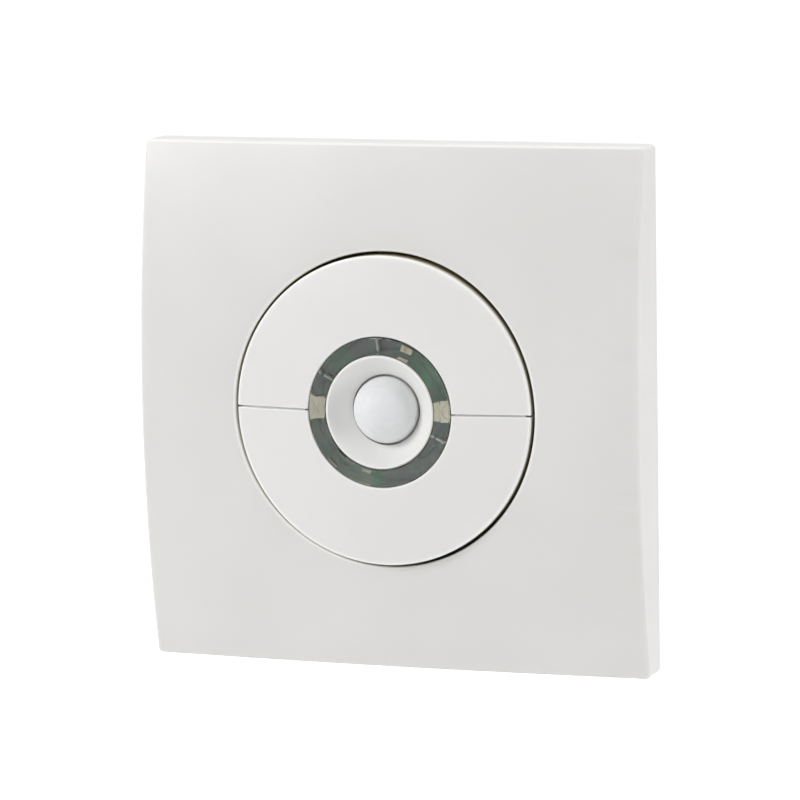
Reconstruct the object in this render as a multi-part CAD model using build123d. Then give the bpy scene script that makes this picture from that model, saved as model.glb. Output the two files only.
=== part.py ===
from build123d import *
import math
import os

# Motion sensor light switch for a square wall box. Sizes are in millimetres.
# Every piece is drawn lying on the wall plane: x across, y up and z out of the wall, so a "depth"
# is a distance from the wall towards the room, and behind the wall it is negative.
# write_piece() stands each piece up, so that the finished switch faces -Y with +Z up.
# The sizes run outwards from the sensor: each ring starts where the one inside it ends.

# Sizes shared by several pieces
overrun = 1.0
seat_gap = 0.1
slip_gap = 0.2
screw_hole_gap = 0.1
solder_tail = 0.8

# Wall box pattern and the support frame of pressed steel
wall_screw_spacing = 60.3
wall_slot_width = 4.0
wall_slot_length = 8.0
wall_slot_edge = 2.85
frame_size = wall_screw_spacing + wall_slot_length + 2 * wall_slot_edge
frame_thickness = 1.2
frame_corner_radius = 4.0
frame_opening_radius = 1.0
frame_bead_width = 2.4
frame_bead_height = 0.5
frame_bead_length = 24.0
frame_bead_inset = 3.6
surface_hole_radius = 1.8
surface_hole_inset = 6.0

# Depths of the carrier and of the sensor board that stands on its bosses
carrier_floor = 1.8
carrier_back = frame_thickness
carrier_front = carrier_back + carrier_floor
board_boss_height = 2.6
board_thickness = 1.2
board_back = carrier_front + board_boss_height
board_front = board_back + board_thickness

# Motion sensor in a metal can
can_radius = 4.1
can_wall = 0.3
can_height = 4.1
can_front = board_front + can_height
can_base_flange = 0.5
can_base_radius = can_radius + can_base_flange
can_base_thickness = 0.6
can_header_height = 0.5
can_window_width = 4.0
can_window_height = 3.0
filter_thickness = 0.4
filter_lap = 0.4
lead_radius = 0.22
lead_circle = 2.54
lead_tip = board_back - 1.5 * solder_tail
lead_hole_gap = 0.15

# Dome lens and the ring that holds it
lens_wall = 0.6
lens_air = 0.8
lens_radius = can_radius + lens_air + lens_wall
holder_height = 1.4
lens_flange_back = board_front + holder_height
lens_flange_width = 1.9
lens_flange_radius = lens_radius + lens_flange_width
lens_flange_thickness = 0.8
lens_flange_front = lens_flange_back + lens_flange_thickness
lens_bands = 6
lens_centre_rise = 1.0
lens_centre_depth = lens_flange_back + lens_centre_rise
holder_gap = 0.15
holder_inner_radius = can_base_radius + holder_gap
holder_key_width = 1.4
holder_key_height = 0.8

# Sensor bezel, a funnel down to the lens
bezel_lens_gap = 0.25
bezel_hole_radius = lens_radius + bezel_lens_gap
bezel_cone_width = 3.55
bezel_outer_radius = bezel_hole_radius + bezel_cone_width
bezel_hole_rise = 0.4
bezel_hole_depth = lens_centre_depth + bezel_hole_rise
bezel_cone_depth = 3.5
bezel_front = bezel_hole_depth + bezel_cone_depth
bezel_rim_land = 0.4
bezel_wall = 1.0
bezel_edge = 0.2
bezel_hook_width = 2.0
bezel_hook_thickness = 0.7
bezel_hook_barb = 0.35
bezel_hook_tip = board_back - 1.5 * solder_tail
bezel_hook_angles = (60, 240)

# Clear ring round the bezel
ring_gap = 0.15
ring_width = 2.7
ring_inner_radius = bezel_outer_radius + ring_gap
ring_outer_radius = ring_inner_radius + ring_width
ring_middle_radius = ring_inner_radius + ring_width / 2
ring_front = bezel_front + seat_gap / 2
led_height = 1.4
ring_back = board_front + led_height + slip_gap
ring_edge = 0.2
ring_foot_thickness = 0.5
ring_foot_length = 2.0
ring_stake_radius = 0.4
ring_stake_gap = 0.05
ring_stake_tip = board_back - solder_tail / 2
ring_foot_angles = (-27, 97, 153.5)

# Push switches under the keys
key_gap = 0.15
key_inner_radius = ring_outer_radius + key_gap
key_inner_wall = 1.2
switch_size = 6.0
switch_key_gap = 1.0
switch_up = key_inner_radius + key_inner_wall + switch_key_gap + switch_size / 2
switch_corner = 0.7
switch_base_height = 2.4
switch_floor = 0.8
switch_cavity_back = board_front + switch_floor
switch_cover_thickness = 0.2
switch_cover_skirt = 0.9
plunger_radius = 1.65
plunger_height = 0.8
plunger_front = board_front + switch_base_height + plunger_height
plunger_flange_radius = 2.2
plunger_flange_height = 0.4
plunger_gap = 0.1
plunger_foot_radius = 0.9
plunger_foot_height = 0.1
snap_dome_radius = 2.1
snap_dome_rise = 0.45
snap_dome_thickness = 0.08
switch_leg_width = 0.7
switch_leg_thickness = 0.15
switch_leg_reach = 0.7

# Sensor board, as wide as its switches need, and the drum of the carrier round it
board_switch_edge = 0.7
board_radius = switch_up + switch_size / 2 + board_switch_edge
board_drum_gap = 0.5
drum_wall = 1.6
drum_outer_radius = board_radius + board_drum_gap + drum_wall
drum_height = 2.0
drum_front = board_front + drum_height
drum_ledge_reach = 0.45
drum_ledge_radius = drum_outer_radius + drum_ledge_reach
drum_ledge_height = 0.8
drum_ledge_back = board_back
bearing_inset = 1.8
bearing_thickness = 1.8
bearing_inner_face = drum_outer_radius - drum_wall - bearing_inset - bearing_thickness
bearing_half_length = 5.0
ear_thickness = 1.5
ear_inner_face = bearing_inner_face - slip_gap - ear_thickness
board_notch_gap = 0.5
board_notch_inner = ear_inner_face - board_notch_gap
board_notch_up = bearing_half_length + board_notch_gap + slip_gap
board_screw_inset = 3.5
board_screw_across = (board_radius - board_screw_inset) * math.sqrt(0.5)
board_screw_hole = 1.2

# Push keys, two halves of one ring on a large sphere
drum_key_gap = 0.6
key_rim_wall = 1.4
key_outer_radius = drum_outer_radius + drum_key_gap + key_rim_wall
key_sphere_radius = 145.0
key_crown = 0.5
key_apex_depth = bezel_front + key_crown
key_wall = 1.8
key_rim_back = drum_ledge_back + 2 * drum_ledge_height
key_inner_back = ring_back + seat_gap
key_split = 0.3
key_outer_fillet = 0.3
key_inner_fillet = 0.3
key_split_fillet = 0.12
key_rib_thickness = 0.9
key_rib_back = plunger_front - seat_gap
key_rib_inset = 4.8
key_rib_reach = key_outer_radius - key_rib_inset
key_rib_angles = (35, 62, 118, 145)
hinge_up = 2.6
hinge_depth = board_front + slip_gap
hinge_pin_radius = 1.0
hinge_pin_length = 1.7
hinge_pin_gap = 0.05
bearing_front = hinge_depth + 2 * hinge_pin_radius
ear_radius = 1.6
presser_width = 4.0
presser_thickness = 1.2
presser_gap = 0.1
hook_width = 5.0
hook_leg_thickness = 1.2
hook_toe_reach = 0.5
hook_toe_height = 0.9
hook_gap = 0.1
hook_back = drum_ledge_back - hook_gap - hook_toe_height

# Parts soldered to the sensor board
led_across = 2.8
led_up = 3.5
led_lens_radius = 1.2
led_lens_depth = 0.25
chip_size = 4.4
chip_height = 1.0
chip_mark_depth = 0.1
chip_inset = 3.9
chip_angle = 66
small_part_shares = (
    (223, 0.51),
    (250, 0.51),
    (20, 0.72),
    (28, 0.72),
    (50, 0.70),
    (117, 0.78),
    (124, 0.78),
    (152, 0.80),
    (159, 0.80),
    (205, 0.82),
    (212, 0.82),
    (245, 0.80),
    (295, 0.80),
    (302, 0.80),
    (332, 0.74),
    (340, 0.74),
)
small_part_length = 1.6
small_part_width = 0.8
small_part_height = 0.45
daylight_sensor_length = 2.0
daylight_sensor_width = 1.25
daylight_sensor_height = 0.8
daylight_sensor_angle = 70

# Cover plate, crowned more from top to bottom than from side to side
plate_margin = 6.0
plate_size = frame_size + 2 * plate_margin
plate_corner_radius = 0.8
plate_wall = 1.8
plate_edge_depth = 5.6
plate_crown_up = 4.6
plate_crown_across = 1.3
plate_front_fillet = 0.45
crown_front = plate_edge_depth + plate_crown_up + plate_crown_across
opening_gap = 0.5
opening_radius = key_outer_radius + opening_gap
opening_fillet = 0.25
collar_wall = 1.4
collar_back = 5.0
rib_thickness = 1.0
rib_back = 5.4
rib_offset = 12.0
claw_width = 6.0
claw_thickness = 1.4
claw_across = 16.0
claw_inset = 4.0
claw_up = frame_size / 2 - claw_inset
claw_tip = -5.8
claw_tooth_height = 0.5
claw_tooth_pitch = 1.2
claw_tooth_count = 3
claw_gusset = 2.6
claw_window_gap = 1.0
claw_window_width = claw_width + 2 * claw_window_gap
claw_window_length = claw_thickness + 2 * claw_window_gap
pry_notch_width = 9.0
pry_notch_depth = 1.2

# Rear housing, square, with the frame's opening and the carrier fitted to it
housing_size = 44.6
housing_wall = 1.6
housing_corner_radius = 2.0
housing_inside = housing_size - 2 * housing_wall
frame_opening = housing_size + 4 * slip_gap
carrier_lap = 3.8
carrier_size = frame_opening + 2 * carrier_lap
carrier_corner_radius = 2.5
carrier_screw_edge = 1.3
carrier_screw_across = frame_opening / 2 + carrier_screw_edge
carrier_screw_hole = 1.6
board_boss_radius = 2.2
pilot_hole_radius = 0.95
column_radius = 2.6
column_inset = 1.7
column_across = housing_inside / 2 - column_inset
column_seat = -4.0
column_access_radius = 2.3
screw_boss_radius = 2.3
screw_boss_height = 1.7
screw_boss_front = carrier_front + screw_boss_height
pillar_size = 3.2
pillar_gap = 0.5
pillar_across = (housing_inside - pillar_size) / 2 - pillar_gap
ledge_length = 6.0
ledge_reach = 1.4
housing_guide_width = 1.0

# Parts on the power board, and the board's depth behind the tallest of them
power_board_size = housing_inside - 2 * slip_gap
power_board_thickness = 1.6
column_notch_gap = 0.4
power_board_notch = power_board_size / 2 - column_across + column_radius + column_notch_gap
relay_width = 10.2
relay_length = 18.2
relay_height = 12.3
relay_edge = 0.5
film_width = 18.0
film_thickness = 7.0
film_height = 12.0
storage_radius = 4.0
storage_height = 11.5
storage_groove = 0.3
filter_radius = 2.5
filter_height = 9.0
varistor_radius = 4.5
varistor_thickness = 4.0
varistor_lift = 0.8
fuse_radius = 1.8
fuse_length = 9.0
fuse_cap_length = 2.2
choke_radius = 3.0
choke_core_radius = 1.6
choke_height = 7.5
choke_flange = 0.9
rectifier_width = 4.7
rectifier_length = 6.5
rectifier_height = 2.5
tallest_part = max(relay_height, film_height, storage_height, 2 * varistor_radius + varistor_lift)
power_board_front = -tallest_part - seat_gap
power_board_back = power_board_front - power_board_thickness

# Where they stand, across and up as shares of the power board's size
relay_share = (-0.33, 0.05)
film_share = (0.1, 0.35)
storage_share = (0.35, 0.1)
filter_share = (0.35, -0.15)
varistor_share = (-0.245, -0.32)
fuse_share = (0.135, -0.44)
choke_share = (0.05, -0.28)
rectifier_share = (-0.035, 0.1)
link_share = (0.17, -0.025)

# Link between the two boards
link_pin_count = 5
link_pitch = 2.54
link_pin_size = 0.64
link_pin_gap = 0.1
link_header_height = 2.5
link_socket_height = 8.5
link_socket_hole = 6.6
link_pin_end_gap = 0.7
link_pin_back = power_board_back - solder_tail
link_pin_front = board_back - link_socket_height + link_socket_hole - link_pin_end_gap

# Wire terminals at the foot of the rear housing, behind the power board
terminal_count = 3
terminal_column_gap = 0.7
terminal_block_width = 2 * (column_across - column_radius - terminal_column_gap)
terminal_block_length = 8.0
terminal_block_up = -(housing_inside - terminal_block_length) / 2 + seat_gap
terminal_block_depth = 10.0
terminal_end = 4.7
terminal_pitch = (terminal_block_width - 2 * terminal_end) / (terminal_count - 1)
clamp_size = 6.4
clamp_depth = 7.0
clamp_wall = 1.0
clamp_gap = 0.2
clamp_shift = 0.2
clamp_back = power_board_back - (terminal_block_depth + clamp_depth) / 2 + clamp_shift
clamp_tail_radius = 0.5
clamp_tail_gap = 0.1
clamp_tail_tip = power_board_front + solder_tail
terminal_screw_shank = 1.45
terminal_screw_head = 2.0
terminal_screw_head_height = 1.6
terminal_screw_head_front = clamp_back - clamp_wall / 2
terminal_screw_head_back = terminal_screw_head_front - terminal_screw_head_height
terminal_screw_tip = clamp_back + clamp_wall + 2 * clamp_gap
terminal_screw_access = 2.4
wire_hole_radius = 1.9
wire_bore_radius = 2.05
wire_depth = clamp_back + clamp_depth / 2

# Back wall of the housing, just behind the terminals
housing_back_wall = 1.8
housing_inner_back = power_board_back - terminal_block_depth - slip_gap
housing_back = housing_inner_back - housing_back_wall

# Setting trimmers and their dials
trimmer_side_inset = 10.5
trimmer_top_inset = 8.5
trimmer_across = power_board_size / 2 - trimmer_side_inset
trimmer_up = power_board_size / 2 - trimmer_top_inset
trimmer_size = 7.0
trimmer_height = 5.0
dial_radius = 3.0
dial_height = 3.0
dial_back = housing_back + slip_gap
dial_front = dial_back + dial_height
dial_neck_radius = 1.8
dial_pivot_radius = 1.2
dial_pivot_depth = 2.4
dial_pivot_gap = 0.08
dial_hole_gap = 0.3
dial_slot_width = 0.9
dial_slot_depth = 1.0

# Screws
screw_head_height = 1.2
screw_slot_width = 0.6
screw_slot_depth = 0.5
screw_end_gap = 0.3
board_screw_shank = 0.85
board_screw_head = 1.9
board_screw_tip = carrier_front + screw_end_gap
carrier_screw_shank = 1.4
carrier_screw_head = 2.3
carrier_screw_tip = -1.0
housing_screw_shank = 1.1
housing_screw_head = 2.05
housing_screw_tip = screw_boss_front - screw_end_gap


# Small helpers that name what they make
def write_piece(name, piece):
    """Stand a piece up against the wall and write it to its own file."""
    export_step(Rot(X=90) * piece, f"parts/{name}.step")


def slab(width, height, back, front, corner=0, across=0, up=0):
    """Rectangular block between two depths, with rounded corners where asked."""
    outline = RectangleRounded(width, height, corner) if corner else Rectangle(width, height)
    return Pos(across, up, back) * extrude(outline, amount=front - back)


def disc(radius, back, front, across=0, up=0):
    """Round block between two depths."""
    return Pos(across, up, back) * extrude(Circle(radius), amount=front - back)


def sleeve(outer, inner, back, front, across=0, up=0):
    """Round tube between two depths."""
    return Pos(across, up, back) * extrude(Circle(outer) - Circle(inner), amount=front - back)


def turned(*points):
    """Body of revolution about the z axis from corners given as (radius, depth)."""
    return revolve(Plane.XZ * make_face(Polyline(*points, close=True)), Axis.Z)


def sag(radius, distance):
    """How far an arc has dropped at this distance from its crown."""
    return radius - math.sqrt(radius**2 - distance**2)


def four_corners(across, up):
    """The four places that are this far across and up from the centre."""
    return [(x, y) for x in (-across, across) for y in (-up, up)]


def polar(radius, angle):
    """Across and up of a point at this radius and angle."""
    return radius * math.cos(math.radians(angle)), radius * math.sin(math.radians(angle))


def pan_screw(shank, head, seat, tip, across=0, up=0):
    """Slotted pan-head screw: the head stands in front of its seat, the shank runs back to its tip."""
    top = seat + screw_head_height
    body = disc(shank, tip, seat) + disc(head, seat, top)
    crown = body.faces().sort_by(Axis.Z)[-1].edges()
    body = fillet(crown, screw_head_height / 2)
    body -= slab(2 * head, screw_slot_width, top - screw_slot_depth, top + overrun)
    return Pos(across, up, 0) * body


# Support frame
def make_support_frame():
    frame = slab(frame_size, frame_size, 0, frame_thickness, frame_corner_radius)
    frame -= slab(frame_opening, frame_opening, -overrun, frame_thickness + overrun, frame_opening_radius)
    for side in (-1, 1):
        slot = SlotOverall(wall_slot_length, wall_slot_width)
        slot = extrude(slot, amount=frame_thickness + 2 * overrun)
        frame -= Pos(side * wall_screw_spacing / 2, 0, -overrun) * slot
        bead_up = side * (frame_size / 2 - frame_bead_inset)
        bead = SlotOverall(frame_bead_length, frame_bead_width)
        bead = extrude(bead, amount=frame_bead_height, taper=30)
        frame += Pos(side * (frame_size / 2 - frame_bead_inset), 0, frame_thickness) * Rot(Z=90) * bead
        frame += Pos(0, bead_up - side * (claw_window_length / 2), frame_thickness) * bead
    for across, up in four_corners(claw_across, claw_up):
        frame -= slab(
            claw_window_width, claw_window_length, -overrun, frame_thickness + overrun, 0, across, up
        )
    inset = frame_size / 2 - surface_hole_inset
    for across, up in four_corners(inset, inset):
        frame -= disc(surface_hole_radius, -overrun, frame_thickness + overrun, across, up)
    for across, up in four_corners(carrier_screw_across, carrier_screw_across):
        hole = carrier_screw_shank + screw_hole_gap
        frame -= disc(hole, -overrun, frame_thickness + overrun, across, up)
    return frame


# Cover plate
def crowned_block(side, corner, inset, back):
    """Square block whose front follows the plate's crowned face, set back by an inset."""
    half = plate_size / 2
    radius_up = (half**2 + plate_crown_up**2) / (2 * plate_crown_up) - inset
    radius_across = (half**2 + plate_crown_across**2) / (2 * plate_crown_across) - inset
    front = crown_front - inset
    axis_depth = front - radius_up
    edge = front - sag(radius_across, plate_size)
    side_end = (plate_size, edge)
    other_end = (-plate_size, edge)
    outline = [
        ThreePointArc(other_end, (0, front), side_end),
        Polyline(side_end, (plate_size, axis_depth), (-plate_size, axis_depth), other_end),
    ]
    drum = revolve(Plane.XZ * make_face(outline), Axis((0, 0, axis_depth), (1, 0, 0)))
    return slab(side, side, back, front + overrun, corner) & drum


def make_claw(across, up):
    """Spring claw with ratchet teeth on its outer face."""
    claw = slab(claw_width, claw_thickness, claw_tip, crown_front, 0, across, up)
    outward = math.copysign(1, up)
    face = up + outward * claw_thickness / 2
    for number in range(claw_tooth_count):
        back = claw_tip + number * claw_tooth_pitch
        tooth = Polyline(
            (face, back),
            (face + outward * claw_tooth_height, back + claw_tooth_pitch),
            (face, back + claw_tooth_pitch),
            close=True,
        )
        claw += Pos(across - claw_width / 2, 0, 0) * extrude(Plane.YZ * make_face(tooth), amount=claw_width)
    root = slab(rib_thickness, 2 * claw_gusset, rib_back, crown_front, 0, across, up - outward * claw_gusset)
    return claw + root


def make_cover_plate():
    shell = crowned_block(plate_size, plate_corner_radius, 0, 0)
    front_edges = shell.faces().sort_by(Axis.Z)[-1].edges()
    shell = fillet(front_edges, plate_front_fillet)
    inner_size = plate_size - 2 * plate_wall
    shell -= crowned_block(inner_size, plate_corner_radius / 2, plate_wall, -overrun)
    inner_block = crowned_block(plate_size - plate_wall, 0, plate_wall / 2, claw_tip)
    reach = plate_size / 2 - plate_wall / 2
    ribs = sleeve(opening_radius + collar_wall, opening_radius, collar_back, crown_front)
    for side in (-1, 1):
        for offset in (-rib_offset, rib_offset):
            ribs += slab(reach, rib_thickness, rib_back, crown_front, 0, side * reach / 2, offset)
            ribs += slab(rib_thickness, reach, rib_back, crown_front, 0, offset, side * reach / 2)
    for across, up in four_corners(claw_across, claw_up):
        ribs += make_claw(across, up)
    shell += ribs & inner_block
    shell -= disc(opening_radius, claw_tip, crown_front + overrun)
    rim = shell.edges().filter_by(lambda edge: edge.distance_to(Vertex(0, 0, crown_front)) > opening_radius)
    rim = [edge for edge in rim if edge.bounding_box().size.X < 2 * opening_radius + overrun / 2]
    rim = [edge for edge in rim if edge.bounding_box().size.X > 2 * opening_radius - overrun / 2]
    rim = sorted(rim, key=lambda edge: edge.center().Z)[-1]
    shell = fillet(rim, opening_fillet)
    shell -= slab(
        pry_notch_width, 2 * plate_wall + overrun, -overrun, pry_notch_depth, 0, 0, -plate_size / 2
    )
    return shell


# Push keys
def key_front_depth(radius):
    return key_apex_depth - sag(key_sphere_radius, radius)


def key_under_depth(radius):
    return key_apex_depth - key_wall - sag(key_sphere_radius - key_wall, radius)


def key_arc(depth, start, end):
    middle = (start + end) / 2
    return ThreePointArc((start, depth(start)), (middle, depth(middle)), (end, depth(end)))


def key_ring():
    """Whole ring from which both keys are cut."""
    outer = key_outer_radius
    inner = key_inner_radius
    rim_inside = outer - key_rim_wall
    inner_outside = inner + key_inner_wall
    outline = [
        Line((outer, key_rim_back), (outer, key_front_depth(outer))),
        key_arc(key_front_depth, outer, inner),
        Polyline(
            (inner, key_front_depth(inner)),
            (inner, key_inner_back),
            (inner_outside, key_inner_back),
            (inner_outside, key_under_depth(inner_outside)),
        ),
        key_arc(key_under_depth, inner_outside, rim_inside),
        Polyline(
            (rim_inside, key_under_depth(rim_inside)),
            (rim_inside, key_rim_back),
            (outer, key_rim_back),
        ),
    ]
    section = make_face(outline)
    outer_corner = section.vertices().group_by(Axis.X)[-1].sort_by(Axis.Y)[-1]
    section = fillet(outer_corner, key_outer_fillet)
    inner_corner = section.vertices().group_by(Axis.X)[0].sort_by(Axis.Y)[-1]
    section = fillet(inner_corner, key_inner_fillet)
    return revolve(Plane.XZ * section, Axis.Z)


def make_ear(side):
    """Hinge ear with its pin, standing inside one bearing of the carrier."""
    middle = side * (ear_inner_face + ear_thickness / 2)
    top = key_under_depth(ear_inner_face) + key_wall / 2
    ear = slab(ear_thickness, 2 * ear_radius, hinge_depth, top, 0, middle, hinge_up)
    knuckle = Pos(middle, hinge_up, hinge_depth) * Rot(Y=90) * Cylinder(ear_radius, ear_thickness)
    pin_length = hinge_pin_length + ear_thickness / 2
    pin = Pos(middle + side * pin_length / 2, hinge_up, hinge_depth)
    pin *= Rot(Y=90) * Cylinder(hinge_pin_radius, pin_length)
    return ear + knuckle + pin


def make_hook():
    """Leg and toe that stop the key from lifting out of the carrier."""
    leg_outer = key_outer_radius - (key_rim_wall - hook_leg_thickness) / 2
    leg_inner = leg_outer - hook_leg_thickness
    leg_front = key_rim_back + key_rim_wall
    toe_inner = leg_inner - hook_toe_reach
    toe_front = hook_back + hook_toe_height
    leg = sleeve(leg_outer, leg_inner, hook_back, leg_front)
    toe = sleeve(leg_inner + hook_leg_thickness / 2, toe_inner, hook_back, toe_front)
    return (leg + toe) & slab(hook_width, plate_size, hook_back, leg_front, 0, 0, plate_size / 2)


def make_upper_key():
    reach = 2 * key_outer_radius
    half = slab(2 * reach, reach, 0, key_apex_depth, 0, 0, (reach + key_split) / 2)
    key = key_ring() & half
    split_edges = key.faces().sort_by(Axis.Y)[0:2]
    split_edges = [face.edges().sort_by(Axis.Z)[-1] for face in split_edges]
    key = fillet(split_edges, key_split_fillet)
    ribs = None
    for angle in key_rib_angles:
        length = key_rib_reach - key_inner_radius - key_inner_wall / 2
        rib = slab(length, key_rib_thickness, key_rib_back, key_apex_depth, 0, key_rib_reach - length / 2)
        rib = Rot(Z=angle) * rib
        ribs = rib if ribs is None else ribs + rib
    presser_back = plunger_front + presser_gap
    ribs += slab(presser_width, presser_thickness, presser_back, key_apex_depth, 0, 0, switch_up)
    under_ball = Pos(0, 0, key_apex_depth - key_sphere_radius) * Sphere(key_sphere_radius - key_wall / 2)
    key += ribs & under_ball
    for side in (-1, 1):
        key += make_ear(side) & under_ball
    return key + make_hook()


# Light ring, bezel, lens and lens holder
def make_light_ring():
    ring = turned(
        (ring_inner_radius, ring_back),
        (ring_outer_radius, ring_back),
        (ring_outer_radius, ring_front - ring_edge),
        (ring_outer_radius - ring_edge, ring_front),
        (ring_inner_radius + ring_edge, ring_front),
        (ring_inner_radius, ring_front - ring_edge),
    )
    for angle in ring_foot_angles:
        across, up = polar(ring_middle_radius, angle)
        foot = slab(ring_foot_length, ring_foot_thickness, board_front, ring_back)
        ring += Pos(across, up, 0) * Rot(Z=angle) * foot
        ring += disc(ring_stake_radius, ring_stake_tip, ring_back, across, up)
    return ring


def make_lens_bezel():
    inner = bezel_outer_radius - bezel_wall
    cone_foot = lens_flange_front + seat_gap
    rise = (bezel_front - bezel_hole_depth) / (bezel_outer_radius - bezel_rim_land - bezel_hole_radius)
    bezel = turned(
        (bezel_outer_radius, board_front),
        (bezel_outer_radius, bezel_front - bezel_edge),
        (bezel_outer_radius - bezel_edge, bezel_front),
        (bezel_outer_radius - bezel_rim_land, bezel_front),
        (bezel_hole_radius, bezel_hole_depth),
        (bezel_hole_radius, cone_foot),
        (bezel_hole_radius + bezel_wall, cone_foot),
        (inner, cone_foot + rise * (inner - bezel_hole_radius - bezel_wall)),
        (inner, board_front),
    )
    face = inner
    middle = inner + bezel_hook_thickness / 2
    hook_root = board_front + bezel_wall
    barb_front = board_back - seat_gap
    for angle in bezel_hook_angles:
        hook = slab(bezel_hook_thickness, bezel_hook_width, bezel_hook_tip, hook_root, 0, middle)
        barb = Polyline(
            (middle, bezel_hook_tip),
            (face, bezel_hook_tip),
            (face - bezel_hook_barb, barb_front - seat_gap),
            (face - bezel_hook_barb, barb_front),
            (middle, barb_front),
            close=True,
        )
        barb = extrude(Plane.XZ * make_face(barb), amount=bezel_hook_width / 2, both=True)
        bezel += Rot(Z=angle) * (hook + barb)
    return bezel


def make_fresnel_lens():
    """Dome with a smooth outside and flat bands inside, on a flange."""
    inner = lens_radius - lens_wall
    inside = []
    for number in range(lens_bands + 1):
        angle = math.radians(90 * number / lens_bands)
        inside.append((inner * math.cos(angle), lens_centre_depth + inner * math.sin(angle)))
    section = make_face(
        [
            Polyline((inner, lens_flange_back), *inside),
            Line((0, lens_centre_depth + inner), (0, lens_centre_depth + lens_radius)),
            CenterArc((0, lens_centre_depth), lens_radius, 0, 90),
            Polyline(
                (lens_radius, lens_centre_depth),
                (lens_radius, lens_flange_front),
                (lens_flange_radius, lens_flange_front),
                (lens_flange_radius, lens_flange_back),
                (inner, lens_flange_back),
            ),
        ]
    )
    return revolve(Plane.XZ * section, Axis.Z)


def make_sensor_holder():
    holder = sleeve(lens_flange_radius, holder_inner_radius, board_front, lens_flange_back)
    middle = (lens_flange_radius + holder_inner_radius) / 2
    relief = slab(2 * middle, holder_key_width, board_front - overrun, board_front + holder_key_height)
    return holder - relief


# Motion sensor
def make_pir_base():
    base = disc(can_base_radius, board_front, board_front + can_base_thickness)
    header_front = board_front + can_base_thickness + can_header_height
    return base + disc(can_radius - can_wall - seat_gap, board_front, header_front)


def make_pir_can():
    back = board_front + can_base_thickness
    can = disc(can_radius, back, can_front)
    can = fillet(can.faces().sort_by(Axis.Z)[-1].edges(), can_wall)
    can -= disc(can_radius - can_wall, back - overrun, can_front - can_wall)
    return can - slab(can_window_width, can_window_height, can_front - 2 * can_wall, can_front + overrun)


def make_pir_window():
    front = can_front - can_wall
    lap = 2 * filter_lap
    return slab(can_window_width + lap, can_window_height + lap, front - filter_thickness, front)


def lead_places():
    return [polar(lead_circle, angle) for angle in (45, 135, 270)]


def make_pir_leads():
    return [disc(lead_radius, lead_tip, board_front, across, up) for across, up in lead_places()]


# Sensor board and its parts
def cut_board_notches(board):
    width = board_radius - board_notch_inner + overrun
    for side in (-1, 1):
        across = side * (board_notch_inner + width / 2)
        board -= slab(width, 2 * board_notch_up, board_back - overrun, board_front + overrun, 0, across)
    return board


def make_sensor_board():
    board = cut_board_notches(disc(board_radius, board_back, board_front))
    holes = [(board_screw_hole, x, y) for x, y in four_corners(board_screw_across, board_screw_across)]
    holes += [(lead_radius + lead_hole_gap, x, y) for x, y in lead_places()]
    for angle in ring_foot_angles:
        holes.append((ring_stake_radius + ring_stake_gap, *polar(ring_middle_radius, angle)))
    for radius, across, up in holes:
        board -= disc(radius, board_back - overrun, board_front + overrun, across, up)
    for angle in bezel_hook_angles:
        slot_outer = bezel_outer_radius - bezel_wall + bezel_hook_thickness + seat_gap
        width = bezel_hook_thickness + bezel_hook_barb + slip_gap + seat_gap
        across = slot_outer - width / 2
        length = bezel_hook_width + 2 * slip_gap
        slot = slab(width, length, board_back - overrun, board_front + overrun, 0, across)
        board -= Rot(Z=angle) * slot
    return board


def make_ring_leds():
    leds = []
    top = board_front + led_height
    for side in (-1, 1):
        across = side * ring_middle_radius
        led = slab(led_across, led_up, board_front, top, 0, across)
        led -= disc(led_lens_radius, top - led_lens_depth, top + overrun, across)
        leds.append(led)
    return leds


def make_small_parts():
    parts = []
    for angle, share in small_part_shares:
        across, up = polar(share * board_radius, angle)
        part = slab(small_part_width, small_part_length, board_front, board_front + small_part_height)
        parts.append(Pos(across, up, 0) * Rot(Z=angle) * part)
    return parts


def make_daylight_sensor():
    across, up = polar(bezel_outer_radius + daylight_sensor_width, daylight_sensor_angle)
    body = slab(
        daylight_sensor_width, daylight_sensor_length, board_front, board_front + daylight_sensor_height
    )
    well = disc(
        daylight_sensor_width / 3,
        board_front + daylight_sensor_height / 2,
        board_front + 2 * daylight_sensor_height,
    )
    return Pos(across, up, 0) * Rot(Z=daylight_sensor_angle) * (body - well)


def make_controller_chip():
    across, up = polar(board_radius - chip_inset, chip_angle)
    top = board_front + chip_height
    chip = slab(chip_size, chip_size, board_front, top)
    corner = chip_size / 3
    chip -= disc(chip_size / 12, top - chip_mark_depth, top + overrun, -corner, corner)
    return Pos(across, up, 0) * chip


# Push switches
def make_switch_base(up):
    front = board_front + switch_base_height
    side = switch_size - 2 * switch_cover_thickness
    base = slab(side, side, board_front, front, switch_corner, 0, up)
    base -= disc(plunger_flange_radius + plunger_gap, switch_cavity_back, front + overrun, 0, up)
    for leg_side in (-1, 1):
        for offset in (-switch_size / 4, switch_size / 4):
            leg_across = leg_side * (side / 2 + switch_leg_reach / 2)
            leg = slab(switch_leg_reach, switch_leg_width, board_front, board_front + switch_leg_thickness)
            base += Pos(leg_across, up + offset, 0) * leg
    return base


def make_switch_cover(up):
    front = board_front + switch_base_height
    top = front + switch_cover_thickness
    side = switch_size - 2 * switch_cover_thickness
    cover = slab(switch_size, side / 2, front - switch_cover_skirt, top, 0, 0, up)
    cover += slab(side, side, front, top, switch_corner, 0, up)
    cover -= slab(side, side, board_front, front, 0, 0, up)
    return cover - disc(plunger_radius + plunger_gap, front - overrun, top + overrun, 0, up)


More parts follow.
